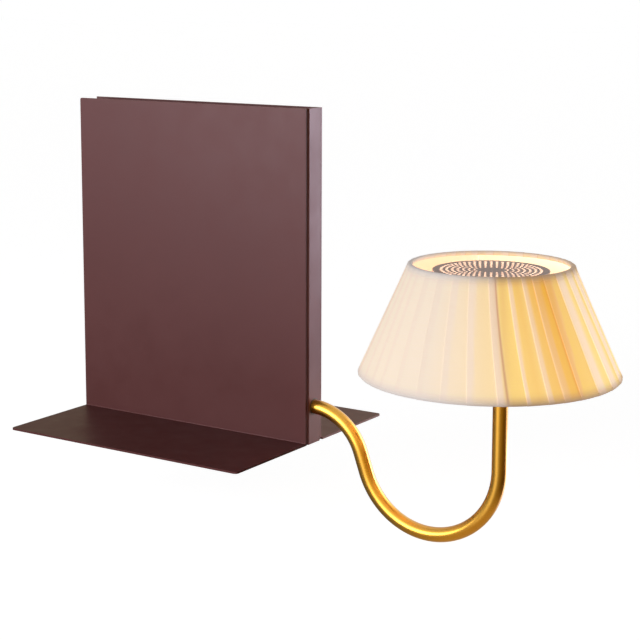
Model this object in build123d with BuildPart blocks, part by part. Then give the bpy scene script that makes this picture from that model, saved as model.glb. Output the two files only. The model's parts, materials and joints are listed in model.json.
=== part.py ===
"""Bookshelf wall light: a folded steel bookend, a gold swan-neck tube and a pleated shade.

Millimetres, +Z up, -Y towards the room, +X to the right. The origin is the middle of the
underside, where the centre pad rests on the shelf.
"""
import os
from math import asin, cos, hypot, pi, radians, sin, tan

from build123d import *

# Bookend
PAD = 1.0               # non-slip pads under the sheet
SHEET = 1.5             # painted steel sheet
BODY_H = 250.0          # sheet underside to top edge
DEPTH = 214.0           # spine to rear edge
BODY_T = 21.2           # over both side faces
WING = 87.0             # each foot, out from its side face
SEAM = 1.5              # shadow gap between cover and spine
BEND_IN = 0.5           # inside radius of the folds
WING_CORNER = 3.0
RETURN_FLANGE = 15.0    # behind the spine's left edge
RELIEF = 2.0            # notch at the foot of the spine's right corner
PAD_MARGIN = 8.0        # pads stop short of the sheet's edges

# Closing strip and the channels that space the sheets
STRIP = 1.0             # thickness
STRIP_RECESS = 4.0      # below the top edge and in from the rear edge
ASSEMBLY_GAP = 0.1
CHANNEL_LOW = 45.0
CHANNEL_HIGH = 244.0
CHANNEL_DEEP = 20.0
STRIP_SCREW_Z = (62.0, 144.0, 226.0)
SCREW_HEAD_D = 5.6
SCREW_HEAD_H = 1.6
SCREW_LEN = 7.0
MID_PAD_HALF = 6.0

# Arm
TUBE_D = 10.7
TUBE_WALL = 1.0
ARM_Z = 28.75           # swivel axis above the origin
NECK_R = 43.0           # first bend, downwards
NECK_TURN = 70.5        # degrees
U_R = 56.0              # second bend, round and up
REACH = 154.3           # spine face to the upright leg
TUBE_IN = 42.0          # tube behind the spine face
TUBE_TOP = 96.0
WIRE_D = 4.0

# Swivel
BUSH_D = 12.8
BUSH_LEN = 11.5
RUN_FIT = 0.05          # radial clearance of the tube in its bushes
SEAT_FIT = 0.02         # radial clearance of parts that don't turn
SWING = 45.0            # degrees each way
BLOCK_LEN = 26.0
BLOCK_HALF = 14.0       # height each side of the swivel axis
COLLAR_D = 14.6
COLLAR_LEN = 8.0
WASHER_GAP = 1.5        # between bearing block and collar
PIN_D = 1.6
PIN_RADIUS = 7.4        # of the stop pin about the swivel axis
PIN_OUT = 6.0
STUD_D = 3.0
NUT_AF = 5.5
NUT_H = 2.4
BLOCK_STUD_DZ = 11.0
STUD_TIP = 0.5          # thread proud of its nut
GRUB_HEX = 0.8
GRUB_HEX_DEEP = 1.0
WASHER_OD = 12.8
WASHER_PLAY = 0.05

# Power
DRIVER_BACK = -40.0     # its end nearer the spine
DRIVER_LEN = 110.0
DRIVER_LOW = 60.0
DRIVER_TALL = 38.0
DRIVER_THICK = 14.0
DRIVER_WALL = 1.4
DRIVER_EAR = 8.0
SUPPLY_Z = 14.0         # cable inlet and terminals
INLET_BORE = 6.5        # takes a 6 mm cable
INLET_BARREL = 12.4
INLET_FLANGE = 16.0
TERMINAL_FRONT = 74.0
TERMINAL_LEN = 18.0
LEAD_D = 3.6
LINK_D = 3.2
LEAD_BEND_Y = -12.0
LINK_BEND_Y = 48.0
PLUG_D = 9.0
PLUG_LEN = 11.0
PLUG_GAP = 0.3
PLUG_CHAMFER = 1.5
GROMMET_LIP = 1.5
GROMMET_PLUG = 4.0
WIRE_PLAY = 0.1
DRIVER_STUD_LEN = 6.0
DRIVER_ROUND = 2.0
CAN_D = 8.0
CAN_H = 7.5
CAN_YS = (-22.0, -10.0, 40.0, 54.0)
COIL_YS = (4.0, 24.0)
COIL_H = 7.4
BOARD_MARGIN = 3.0
POLE_PITCH = 5.0
POLE_BORE = 3.4
POLE_SCREW_D = 3.0
POLE_SCREW_H = 4.0
POLE_WELL = 5.0
TERMINAL_HALF = 7.4
TERMINAL_ABOVE = 8.0    # over its wire holes
INLET_LIP = 2.5
INLET_IN = 9.0
INLET_NUT_AF = 15.0
INLET_NUT_T = 3.0

# Head
SHADE_REACH = 145.0     # spine face to the shade's axis
CUP_D = 48.0
CUP_FLOOR = 88.0
FLOOR_T = 4.0
SHOULDER = 104.0        # the shade's hub rests here
SPIGOT_D = 42.0
SPIGOT_TOP = 110.0
CAVITY_D = 37.0
SEAT_D = 40.0
SPREADER_LOW = 102.0
SPREADER_T = 3.0
BOARD_D = 35.6
BOARD_T = 1.6
BUTTON_OFFSET = 9.5     # from the shade's axis, towards the shelf
BUTTON_D = 7.4
BUTTON_FLANGE_D = 9.6
BUTTON_PROUD = 2.4
BUTTON_TRAVEL = 1.2
BUTTON_GAP = 0.15
DIMMER_LOW = 98.0
DOME_D = 39.2
DOME_WALL = 1.5
DOME_TOP = 139.0
DOME_ROUND = 12.0
CUP_CHAMFER = 1.5
FIN_ZS = (91.5, 94.5, 97.5, 100.5)
FIN_GAP = 1.4
FIN_DEEP = 2.5
STEM_D = 15.0
STEM_H = 8.0
TUBE_NUT_AF = 14.0
TUBE_NUT_H = 3.0
CHIP = 2.8
CHIP_H = 0.7
CHIP_RINGS = ((11.0, 12, 15.0), (5.5, 6, 0.0))   # radius, count, start angle
BOARD_SCREW_X = 15.0
BOARD_SCREW_D = 2.5
BOARD_SCREW_HEAD = 4.4
SPACER_RADIUS = 13.0
SPACER_D = 4.0
SWITCH_BODY = 6.0
SWITCH_H = 3.0
PLUNGER_D = 3.4
BUTTON_FLANGE_T = 1.15
BUTTON_ROUND = 0.8

# Shade
RIM_TOP = 150.8
RIM_BOTTOM = 71.7
R_TOP = 57.6
R_BOTTOM = 92.7
PLEATS = 34
PLEAT_START = 154.3     # degrees from +X
PLEAT_SWELLS = ((0.185, 0.752, -0.789), (0.119, 1.451, 0.791))   # share of a width, step, phase
PLEAT_DEPTH = 1.2
PLEAT_LEAN = 5.5        # degrees that each fold turns back on its way up
FABRIC = 0.8            # from a fold's root to the inner face
TRIM_H = 3.6
TRIM = 0.5
TRIM_ROLL = 2.3         # outer radius of the tape round the rim
LINING = 0.4
LAYER_GAP = 0.05
RING_WIRE = 2.0
RING_CLEAR = 0.3        # between a ring and the cloth's edge
RING_ROOM = 0.9         # between the lining and the tape's inner leg, so that the ring fits
RIB_W = 4.0
RIB_T = 1.2
SPOKES = 4              # with a rib and a disc post on each
SPOKE_START = 34.5      # degrees from +X
HUB_D = 54.0
HUB_T = 2.5
SPOKE_W = 5.0
SPOKE_ROOT = 1.0        # of each spoke inside the hub
SPOKE_GAP = 0.25        # between a spoke's end and its rib
RIB_SAG = 0.1           # flat ribs stand this far off the round lining
LIFT_GAP = 0.3          # between hub and spigot

# Disc
DISC_D = 80.6
DISC_T = 1.2
DISC_DROP = 4.9         # below the top rim
HOLE_RINGS = range(3, 10)       # with six more holes on each ring than on the one inside it
RING_HOLES = 6
RING_PITCH = 3.82
HOLE_START = 27.2       # degrees from +X, of the line that every sixth of the pattern starts on
HOLE_D = 2.25           # on the outermost ring
HOLE_SHRINK = 0.13      # from one ring to the next inside it
POST_D = 3.0
POST_RADIUS = 38.6      # under the disc's plain rim

# Worked out from the above
TOP = PAD + BODY_H
FRONT = -DEPTH / 2
REAR = DEPTH / 2
SIDE = BODY_T / 2
INNER = SIDE - SHEET
SPINE_LEFT = -SIDE + SHEET + SEAM
ARM_X = (SPINE_LEFT + SIDE) / 2
HALF_BLOCK = SIDE - SHEET - ASSEMBLY_GAP - ARM_X
LEG_Y = FRONT - REACH
AXIS_Y = FRONT - SHADE_REACH
LEG_OFF = SHADE_REACH - REACH
TUBE_R = TUBE_D / 2
FLANGE_END = FRONT + RETURN_FLANGE
SPINE_BACK = FRONT + SHEET
STRIP_TOP = TOP - STRIP_RECESS
STRIP_REAR = REAR - STRIP_RECESS
BLOCK_FRONT = SPINE_BACK + ASSEMBLY_GAP
BLOCK_BACK = BLOCK_FRONT + BLOCK_LEN
COLLAR_FRONT = BLOCK_BACK + WASHER_GAP
COLLAR_BACK = COLLAR_FRONT + COLLAR_LEN
TUBE_BACK = FRONT + TUBE_IN
CONE_SLOPE = (R_TOP - R_BOTTOM) / (RIM_TOP - RIM_BOTTOM)
FOLD_EDGE = TRIM + LAYER_GAP
FOLD_ROOT = FOLD_EDGE + PLEAT_DEPTH
FABRIC_IN = FOLD_ROOT + FABRIC
LINING_OUT = FABRIC_IN + LAYER_GAP
LINING_IN = LINING_OUT + LINING
TRIM_IN = LINING_IN + RING_ROOM
ROLL_IN = TRIM_ROLL - TRIM
ROLL_INSET = TRIM + ROLL_IN * hypot(1, CONE_SLOPE)
DISC_TOP = RIM_TOP - DISC_DROP
DISC_LOW = DISC_TOP - DISC_T
HUB_TOP = SHOULDER + HUB_T
BOARD_LOW = SPREADER_LOW + SPREADER_T
SHADE_AXIS = Axis((ARM_X, AXIS_Y, 0), (0, 0, 1))
SHADE_SECTION = Plane(origin=(ARM_X, AXIS_Y, 0), x_dir=(1, 0, 0), z_dir=(0, -1, 0))
PLEAT_LOW = RIM_BOTTOM + TRIM + LAYER_GAP + RING_WIRE + RING_CLEAR
PLEAT_HIGH = RIM_TOP - TRIM - LAYER_GAP - RING_WIRE - RING_CLEAR

os.makedirs("parts", exist_ok=True)


def save(builder, name):
    """Label a finished sub-part and write it to its own file."""
    builder.part.label = name
    export_step(builder.part, f"parts/{name}.step")


def cone_radius(z, inset=0.0):
    """Radius of the shade's outer cone at height z, less an inset."""
    return R_BOTTOM + CONE_SLOPE * (z - RIM_BOTTOM) - inset


def level(z, x=0.0, y=0.0):
    """Horizontal sketch plane, its origin given from the shade's axis."""
    return Plane(origin=(ARM_X + x, AXIS_Y + y, z), z_dir=(0, 0, 1))


def along_arm(y):
    """Sketch plane square to the swivel axis: its x is +X and its y is down."""
    return Plane(origin=(ARM_X, y, ARM_Z), x_dir=(1, 0, 0), z_dir=(0, 1, 0))


def facing_rear(x, y, z):
    """Sketch plane that faces the rear, at a point."""
    return Plane(origin=(x, y, z), x_dir=(1, 0, 0), z_dir=(0, 1, 0))


def facing_left(x, y, z):
    """Sketch plane that faces the left, at a point."""
    return Plane(origin=(x, y, z), x_dir=(0, 1, 0), z_dir=(-1, 0, 0))


def ring(plane, outer, inner, height, mode=Mode.ADD):
    """Flat ring extruded from its plane, given by its two diameters."""
    with BuildSketch(plane) as face:
        Circle(outer / 2)
        if inner:
            Circle(inner / 2, mode=Mode.SUBTRACT)
    extrude(face.sketch, amount=height, mode=mode)


def hexagon(plane, across_flats, bore, height):
    """Hexagonal nut extruded from its plane."""
    with BuildSketch(plane) as face:
        RegularPolygon(across_flats / 2, 6, major_radius=False)
        Circle(bore / 2, mode=Mode.SUBTRACT)
    extrude(face.sketch, amount=height)


def screw(plane, head_d, head_h, shank_d, shank_len):
    """Pan-head screw: its head rises from the plane and its shank goes in below it."""
    ring(plane, head_d, 0, head_h)
    ring(plane, shank_d, 0, -shank_len)
    with BuildSketch(plane.offset(head_h)) as socket:
        RegularPolygon(head_d / 4, 6)
    extrude(socket.sketch, amount=-head_h * 0.6, mode=Mode.SUBTRACT)


def block(x0, x1, y0, y1, z0, z1, mode=Mode.ADD):
    """Box from its two corners."""
    with Locations(((x0 + x1) / 2, (y0 + y1) / 2, (z0 + z1) / 2)):
        Box(x1 - x0, y1 - y0, z1 - z0, mode=mode)


def turned(points, rounds=()):
    """Solid of revolution about the shade's axis, from a closed outline of radius and height.

    Each of the rounds is a corner of that outline and its radius.
    """
    with BuildSketch(SHADE_SECTION) as outline:
        with BuildLine():
            Polyline(*points, close=True)
        make_face()
        for corner, radius in rounds:
            fillet(outline.vertices().sort_by_distance((*corner, 0))[0], radius)
    revolve(outline.sketch, axis=SHADE_AXIS)


def arm_route(start_y, end_z):
    """Centre line of the tube, from a point on the swivel axis to a height on the upright leg."""
    side_view = Plane(origin=(ARM_X, 0, 0), x_dir=(0, 1, 0), z_dir=(1, 0, 0))
    turn = radians(NECK_TURN)
    run = (REACH - NECK_R * sin(turn) - U_R * (1 + sin(turn))) / cos(turn)
    with BuildLine(side_view) as route:
        Line((start_y, ARM_Z), (FRONT, ARM_Z))
        JernArc((FRONT, ARM_Z), (-1, 0), NECK_R, NECK_TURN)
        neck_end = (FRONT - NECK_R * sin(turn), ARM_Z - NECK_R * (1 - cos(turn)))
        u_start = (neck_end[0] - run * cos(turn), neck_end[1] - run * sin(turn))
        Line(neck_end, u_start)
        JernArc(u_start, (-cos(turn), -sin(turn)), U_R, -90 - NECK_TURN)
        leg_low = u_start[1] + U_R * cos(turn)
        Line((LEG_Y, leg_low), (LEG_Y, end_z))
    return route.wire()


def swept_tube(route, outer, inner=0.0):
    """Round tube along a route."""
    with BuildSketch(Plane(origin=route @ 0, z_dir=route % 0)) as section:
        Circle(outer / 2)
        if inner:
            Circle(inner / 2, mode=Mode.SUBTRACT)
    sweep(section.sketch, path=route)


def pleat_angles():
    """Angles of the fold edges, in radians: the widths are a little uneven."""
    widths = [
        1 + sum(share * sin(step * pleat + phase) for share, step, phase in PLEAT_SWELLS)
        for pleat in range(PLEATS)
    ]
    scale = 2 * pi / sum(widths)
    angles = [radians(PLEAT_START)]
    for width in widths:
        angles.append(angles[-1] + width * scale)
    return angles


def pleat_outline(z):
    """Saw-tooth outline of the knife pleats at height z: each fold edge lies over the next root."""
    edge = cone_radius(z, FOLD_EDGE)
    root = cone_radius(z, FOLD_ROOT)
    lean = radians(PLEAT_LEAN) * (z - RIM_BOTTOM) / (RIM_TOP - RIM_BOTTOM)
    angles = [angle - lean for angle in pleat_angles()]
    points = []
    for start, end in zip(angles, angles[1:]):
        points.append((edge * cos(start), edge * sin(start)))
        points.append((root * cos(end), root * sin(end)))
    return points


# Bookend sheets


def foot_profile(sign):
    """Section of an upright side that folds out into its wing, in X and Z."""
    outside = sign * SIDE
    inside = sign * INNER
    tip = sign * (SIDE + WING)
    with BuildSketch(Plane.XZ) as profile:
        with BuildLine():
            Polyline(
                (inside, TOP), (outside, TOP), (outside, PAD + SHEET), (tip, PAD + SHEET),
                (tip, PAD), (inside, PAD), close=True,
            )
        make_face()
        corners = profile.vertices()
        fold = corners.sort_by(lambda v: hypot(v.X - outside, v.Y - PAD - SHEET))[0]
        heel = corners.sort_by(lambda v: hypot(v.X - inside, v.Y - PAD))[0]
        fillet(fold, BEND_IN)
        fillet(heel, BEND_IN + SHEET)
    return profile.sketch


with BuildPart() as left_plate:
    add(extrude(foot_profile(-1), amount=DEPTH / 2, both=True))
    fillet(left_plate.edges().filter_by(Axis.Z).group_by(Axis.X)[0], WING_CORNER)
    fillet(left_plate.edges().filter_by(Axis.X).group_by(Axis.Z)[-1], SHEET)
save(left_plate, "left_plate")

with BuildPart() as right_shell:
    add(extrude(foot_profile(1), amount=DEPTH / 2, both=True))
    with BuildSketch(Plane.XY.offset(PAD)) as spine_plan:
        with BuildLine():
            Polyline(
                (SPINE_LEFT, FLANGE_END), (SPINE_LEFT, FRONT), (SIDE, FRONT), (SIDE, FLANGE_END),
                (INNER, FLANGE_END), (INNER, SPINE_BACK), (SPINE_LEFT + SHEET, SPINE_BACK),
                (SPINE_LEFT + SHEET, FLANGE_END), close=True,
            )
        make_face()
        fillet(spine_plan.vertices().group_by(Axis.Y)[0], BEND_IN + SHEET)
    extrude(amount=BODY_H)
    block(SIDE - RELIEF, SIDE + RELIEF, FRONT - 1, FRONT + RELIEF, PAD - 1, PAD + RELIEF,
          mode=Mode.SUBTRACT)
    ring(along_arm(FRONT - 1), BUSH_D, 0, SHEET + 2, mode=Mode.SUBTRACT)
    fillet(right_shell.edges().filter_by(Axis.Z).group_by(Axis.X)[-1], WING_CORNER)
save(right_shell, "right_shell")

with BuildPart() as closing_strip:
    with BuildSketch(Plane.YZ) as strip_side:
        with BuildLine():
            Polyline(
                (BLOCK_FRONT, PAD), (STRIP_REAR, PAD), (STRIP_REAR, STRIP_TOP),
                (BLOCK_FRONT, STRIP_TOP), (BLOCK_FRONT, STRIP_TOP - STRIP),
                (STRIP_REAR - STRIP, STRIP_TOP - STRIP), (STRIP_REAR - STRIP, PAD + STRIP),
                (BLOCK_FRONT, PAD + STRIP), close=True,
            )
        make_face()
        fillet(strip_side.vertices().group_by(Axis.X)[-1], BEND_IN + STRIP)
    extrude(amount=INNER - ASSEMBLY_GAP, both=True)
    block(-SIDE, SPINE_LEFT + SHEET + ASSEMBLY_GAP, FRONT, FLANGE_END + ASSEMBLY_GAP, 0, TOP,
          mode=Mode.SUBTRACT)
    with BuildSketch(facing_rear(0, REAR, 0)):
        with Locations((0, -SUPPLY_Z)):
            Circle(INLET_BARREL / 2 + SEAT_FIT)
        with Locations(*[(0, -z) for z in STRIP_SCREW_Z]):
            Circle(STUD_D / 2 + SEAT_FIT)
    extrude(amount=-2 * STRIP_RECESS, mode=Mode.SUBTRACT)
save(closing_strip, "closing_strip")


def channel(web_y, flange_y):
    """Plan of a channel: its web across the body at web_y and its flanges out to flange_y."""
    step = SHEET if flange_y > web_y else -SHEET
    with BuildSketch(Plane.XY.offset(CHANNEL_LOW)) as plan:
        with BuildLine():
            Polyline(
                (-INNER, web_y), (INNER, web_y), (INNER, flange_y), (INNER - SHEET, flange_y),
                (INNER - SHEET, web_y + step), (SHEET - INNER, web_y + step),
                (SHEET - INNER, flange_y), (-INNER, flange_y), close=True,
            )
        make_face()
    extrude(plan.sketch, amount=CHANNEL_HIGH - CHANNEL_LOW)


with BuildPart() as front_channel:
    channel(FLANGE_END + 5 * ASSEMBLY_GAP, FLANGE_END + CHANNEL_DEEP)
save(front_channel, "front_channel")

with BuildPart() as rear_channel:
    channel(STRIP_REAR - STRIP, STRIP_REAR - CHANNEL_DEEP)
    with BuildSketch(facing_rear(0, STRIP_REAR, 0)):
        with Locations(*[(0, -z) for z in STRIP_SCREW_Z]):
            Circle(STUD_D / 2 + SEAT_FIT)
    extrude(amount=-STRIP - SHEET - 1, mode=Mode.SUBTRACT)
save(rear_channel, "rear_channel")

with BuildPart() as strip_screws:
    for screw_z in STRIP_SCREW_Z:
        screw(facing_rear(0, STRIP_REAR, screw_z), SCREW_HEAD_D, SCREW_HEAD_H, STUD_D, SCREW_LEN)
save(strip_screws, "strip_screws")

with BuildPart() as grip_pads:
    wing_inner = SIDE + PAD_MARGIN
    wing_outer = SIDE + WING - PAD_MARGIN
    block(-wing_outer, -wing_inner, FRONT + PAD_MARGIN, REAR - PAD_MARGIN, 0, PAD)
    block(wing_inner, wing_outer, FRONT + PAD_MARGIN, REAR - PAD_MARGIN, 0, PAD)
    block(-MID_PAD_HALF, MID_PAD_HALF, FLANGE_END, STRIP_REAR - PAD_MARGIN, 0, PAD)
    fillet(grip_pads.edges().filter_by(Axis.Z), WING_CORNER)
save(grip_pads, "grip_pads")

# Swivel

STUD_Y = FLANGE_END + RETURN_FLANGE / 2
STUD_ZS = (ARM_Z - BLOCK_STUD_DZ, ARM_Z + BLOCK_STUD_DZ)
BLOCK_LEFT = ARM_X - HALF_BLOCK

with BuildPart() as bearing_block:
    block(BLOCK_LEFT, ARM_X + HALF_BLOCK, BLOCK_FRONT, BLOCK_BACK,
          ARM_Z - BLOCK_HALF, ARM_Z + BLOCK_HALF)
    chamfer(bearing_block.edges().filter_by(Axis.Y), 1)
    ring(along_arm(BLOCK_FRONT - 1), BUSH_D, 0, BLOCK_LEN + 2, mode=Mode.SUBTRACT)
    with BuildSketch(along_arm(BLOCK_BACK)):
        with Locations((0, PIN_RADIUS)):
            Circle(PIN_D / 2 + SEAT_FIT)
    extrude(amount=-PIN_OUT, mode=Mode.SUBTRACT)
    with BuildSketch(facing_left(INNER, STUD_Y, ARM_Z)):
        with Locations((0, BLOCK_STUD_DZ), (0, -BLOCK_STUD_DZ)):
            Circle(STUD_D / 2 + SEAT_FIT)
    extrude(amount=4 * HALF_BLOCK, mode=Mode.SUBTRACT)
save(bearing_block, "bearing_block")

with BuildPart() as block_studs:
    stud_len = INNER - BLOCK_LEFT + NUT_H + STUD_TIP
    for stud_z in STUD_ZS:
        ring(facing_left(INNER, STUD_Y, stud_z), STUD_D, 0, stud_len)
save(block_studs, "block_studs")

with BuildPart() as block_nuts:
    for stud_z in STUD_ZS:
        hexagon(facing_left(BLOCK_LEFT, STUD_Y, stud_z), NUT_AF, STUD_D + 2 * SEAT_FIT, NUT_H)
save(block_nuts, "block_nuts")

for bush_name, bush_start in (("front_bush", FRONT), ("rear_bush", BLOCK_BACK - BUSH_LEN)):
    with BuildPart() as bush:
        ring(along_arm(bush_start), BUSH_D - 2 * SEAT_FIT, TUBE_D + 2 * RUN_FIT, BUSH_LEN)
    save(bush, bush_name)

with BuildPart() as stop_pin:
    with BuildSketch(along_arm(BLOCK_BACK - PIN_OUT)):
        with Locations((0, PIN_RADIUS)):
            Circle(PIN_D / 2)
    extrude(amount=2 * PIN_OUT)
save(stop_pin, "stop_pin")

GRUB_Y = COLLAR_BACK - COLLAR_LEN / 3

with BuildPart() as stop_collar:
    ring(along_arm(COLLAR_FRONT), COLLAR_D, TUBE_D + 2 * SEAT_FIT, COLLAR_LEN)
    stop_half = radians(SWING) + asin(PIN_D / 2 / PIN_RADIUS)
    wedge = 2 * COLLAR_D
    with BuildSketch(along_arm(COLLAR_FRONT)):
        Circle(COLLAR_D)
        Circle(PIN_RADIUS - PIN_D / 2 - ASSEMBLY_GAP, mode=Mode.SUBTRACT)
        with BuildLine():
            Polyline((0, 0), (wedge * sin(stop_half), wedge * cos(stop_half)),
                     (-wedge * sin(stop_half), wedge * cos(stop_half)), close=True)
        make_face(mode=Mode.INTERSECT)
    extrude(amount=PIN_OUT, mode=Mode.SUBTRACT)
    with BuildSketch(Plane(origin=(ARM_X, GRUB_Y, ARM_Z))):
        Circle(STUD_D / 2 + SEAT_FIT)
    extrude(amount=COLLAR_D, mode=Mode.SUBTRACT)
save(stop_collar, "stop_collar")

with BuildPart() as collar_screw:
    grub_top = COLLAR_D / 2 - ASSEMBLY_GAP
    grub_plane = Plane(origin=(ARM_X, GRUB_Y, ARM_Z + grub_top))
    ring(grub_plane, STUD_D, 0, TUBE_R + WASHER_PLAY - grub_top)
    with BuildSketch(grub_plane):
        RegularPolygon(GRUB_HEX, 6)
    extrude(amount=-GRUB_HEX_DEEP, mode=Mode.SUBTRACT)
save(collar_screw, "collar_screw")

with BuildPart() as friction_washer:
    ring(along_arm(BLOCK_BACK + WASHER_PLAY), WASHER_OD, TUBE_D + 4 * WASHER_PLAY,
         WASHER_GAP - 2 * WASHER_PLAY)
save(friction_washer, "friction_washer")

# Arm

with BuildPart() as arm_tube:
    tube_route = arm_route(TUBE_BACK, TUBE_TOP)
    swept_tube(tube_route, TUBE_D, TUBE_D - 2 * TUBE_WALL)
save(arm_tube, "arm_tube")
ring_area = pi * (TUBE_R ** 2 - (TUBE_R - TUBE_WALL) ** 2)
print("tube length", tube_route.length, "volume ratio",
      arm_tube.part.volume / (ring_area * tube_route.length))

with BuildPart() as tube_grommet:
    ring(along_arm(TUBE_BACK), TUBE_D, WIRE_D + WIRE_PLAY, GROMMET_LIP)
    ring(along_arm(TUBE_BACK), TUBE_D - 2 * TUBE_WALL - WIRE_PLAY, WIRE_D + WIRE_PLAY, -GROMMET_PLUG)
save(tube_grommet, "tube_grommet")

PLUG_FRONT = TUBE_BACK + GROMMET_LIP + 2
SOCKET_FRONT = PLUG_FRONT + PLUG_LEN + PLUG_GAP
SOCKET_BACK = SOCKET_FRONT + PLUG_LEN

with BuildPart() as arm_wire:
    wire_route = arm_route(PLUG_FRONT, BOARD_LOW - ASSEMBLY_GAP)
    swept_tube(wire_route, WIRE_D)
save(arm_wire, "arm_wire")
print("arm wire length", wire_route.length, "volume ratio",
      arm_wire.part.volume / (pi * WIRE_D ** 2 / 4 * wire_route.length))

with BuildPart() as arm_plug:
    ring(along_arm(PLUG_FRONT), PLUG_D, 0, PLUG_LEN)
    chamfer(arm_plug.edges().group_by(Axis.Y)[0], PLUG_CHAMFER)
save(arm_plug, "arm_plug")

with BuildPart() as lead_socket:
    ring(along_arm(SOCKET_FRONT), PLUG_D, 0, PLUG_LEN)
    chamfer(lead_socket.edges().group_by(Axis.Y)[-1], PLUG_CHAMFER)
save(lead_socket, "lead_socket")


def elbow_lead(start, corner, end, diameter, name):
    """Lead of two straight runs, joined by an arc as large as the shorter one allows."""
    run = min((Vector(*corner) - Vector(*start)).length, (Vector(*end) - Vector(*corner)).length)
    bend = 0.45 * run / tan(pi / 4)
    with BuildPart() as lead:
        with BuildLine() as route:
            FilletPolyline(start, corner, end, radius=bend)
        swept_tube(route.wire(), diameter)
    save(lead, name)
    print(name, "length", route.wire().length, "bend", bend, "volume ratio",
          lead.part.volume / (pi * diameter ** 2 / 4 * route.wire().length))


elbow_lead((ARM_X, SOCKET_BACK, ARM_Z), (ARM_X, LEAD_BEND_Y, ARM_Z),
           (ARM_X, LEAD_BEND_Y, DRIVER_LOW), LEAD_D, "driver_lead")
elbow_lead((ARM_X, TERMINAL_FRONT, SUPPLY_Z), (ARM_X, LINK_BEND_Y, SUPPLY_Z),
           (ARM_X, LINK_BEND_Y, DRIVER_LOW), LINK_D, "mains_link")

# Driver

DRIVER_RIGHT = INNER - ASSEMBLY_GAP
DRIVER_LEFT = DRIVER_RIGHT - DRIVER_THICK + DRIVER_WALL
DRIVER_END = DRIVER_BACK + DRIVER_LEN
DRIVER_HIGH = DRIVER_LOW + DRIVER_TALL
DRIVER_MID = (DRIVER_LOW + DRIVER_HIGH) / 2
EAR_YS = (DRIVER_BACK - DRIVER_EAR / 2, DRIVER_END + DRIVER_EAR / 2)

with BuildPart() as driver_case:
    block(DRIVER_LEFT, DRIVER_RIGHT, DRIVER_BACK, DRIVER_END, DRIVER_LOW, DRIVER_HIGH)
    block(DRIVER_LEFT - DRIVER_WALL, DRIVER_RIGHT - DRIVER_WALL, DRIVER_BACK + DRIVER_WALL,
          DRIVER_END - DRIVER_WALL, DRIVER_LOW + DRIVER_WALL, DRIVER_HIGH - DRIVER_WALL,
          mode=Mode.SUBTRACT)
    block(DRIVER_RIGHT - DRIVER_WALL, DRIVER_RIGHT, DRIVER_BACK - DRIVER_EAR,
          DRIVER_END + DRIVER_EAR, DRIVER_MID - DRIVER_EAR, DRIVER_MID + DRIVER_EAR)
    with BuildSketch(facing_left(DRIVER_RIGHT, 0, DRIVER_MID)):
        with Locations(*[(ear_y, 0) for ear_y in EAR_YS]):
            Circle(STUD_D / 2 + SEAT_FIT)
    extrude(amount=2 * DRIVER_WALL, mode=Mode.SUBTRACT)
save(driver_case, "driver_case")

with BuildPart() as driver_lid:
    block(DRIVER_LEFT - DRIVER_WALL, DRIVER_LEFT, DRIVER_BACK, DRIVER_END, DRIVER_LOW, DRIVER_HIGH)
    fillet(driver_lid.edges().filter_by(Axis.X), DRIVER_ROUND)
save(driver_lid, "driver_lid")

with BuildPart() as driver_board:
    board_right = DRIVER_RIGHT - 2 * DRIVER_WALL
    board_left = board_right - BOARD_T
    block(board_left, board_right, DRIVER_BACK + BOARD_MARGIN, DRIVER_END - BOARD_MARGIN,
          DRIVER_LOW + BOARD_MARGIN, DRIVER_HIGH - BOARD_MARGIN)
    block(board_left - COIL_H, board_left, COIL_YS[0], COIL_YS[1],
          DRIVER_LOW + 2 * BOARD_MARGIN, DRIVER_HIGH - 2 * BOARD_MARGIN)
    for can_y in CAN_YS:
        ring(facing_left(board_left, can_y, DRIVER_MID), CAN_D, 0, CAN_H)
save(driver_board, "driver_board")

with BuildPart() as driver_studs:
    for ear_y in EAR_YS:
        ring(facing_left(INNER, ear_y, DRIVER_MID), STUD_D, 0, DRIVER_STUD_LEN)
save(driver_studs, "driver_studs")

with BuildPart() as driver_nuts:
    for ear_y in EAR_YS:
        hexagon(facing_left(DRIVER_RIGHT - DRIVER_WALL, ear_y, DRIVER_MID), NUT_AF,
                STUD_D + 2 * SEAT_FIT, NUT_H)
save(driver_nuts, "driver_nuts")

# Supply end

POLE_XS = (ARM_X - POLE_PITCH, ARM_X, ARM_X + POLE_PITCH)
POLE_YS = (TERMINAL_FRONT + TERMINAL_LEN / 4, TERMINAL_FRONT + 3 * TERMINAL_LEN / 4)
TERMINAL_TOP = SUPPLY_Z + TERMINAL_ABOVE
INLET_FRONT = STRIP_REAR - INLET_IN

with BuildPart() as terminal_block:
    block(ARM_X - TERMINAL_HALF, ARM_X + TERMINAL_HALF, TERMINAL_FRONT,
          TERMINAL_FRONT + TERMINAL_LEN, PAD + STRIP + ASSEMBLY_GAP, TERMINAL_TOP)
    with BuildSketch(facing_rear(ARM_X, TERMINAL_FRONT + TERMINAL_LEN, SUPPLY_Z)):
        with Locations(*[(pole_x - ARM_X, 0) for pole_x in POLE_XS]):
            Circle(POLE_BORE / 2)
    extrude(amount=-TERMINAL_LEN / 2, mode=Mode.SUBTRACT)
    with BuildSketch(Plane.XY.offset(TERMINAL_TOP)):
        with Locations(*[(pole_x, pole_y) for pole_x in POLE_XS for pole_y in POLE_YS]):
            Circle(POLE_SCREW_D / 2 + ASSEMBLY_GAP)
    extrude(amount=-POLE_WELL, mode=Mode.SUBTRACT)
save(terminal_block, "terminal_block")

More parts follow.
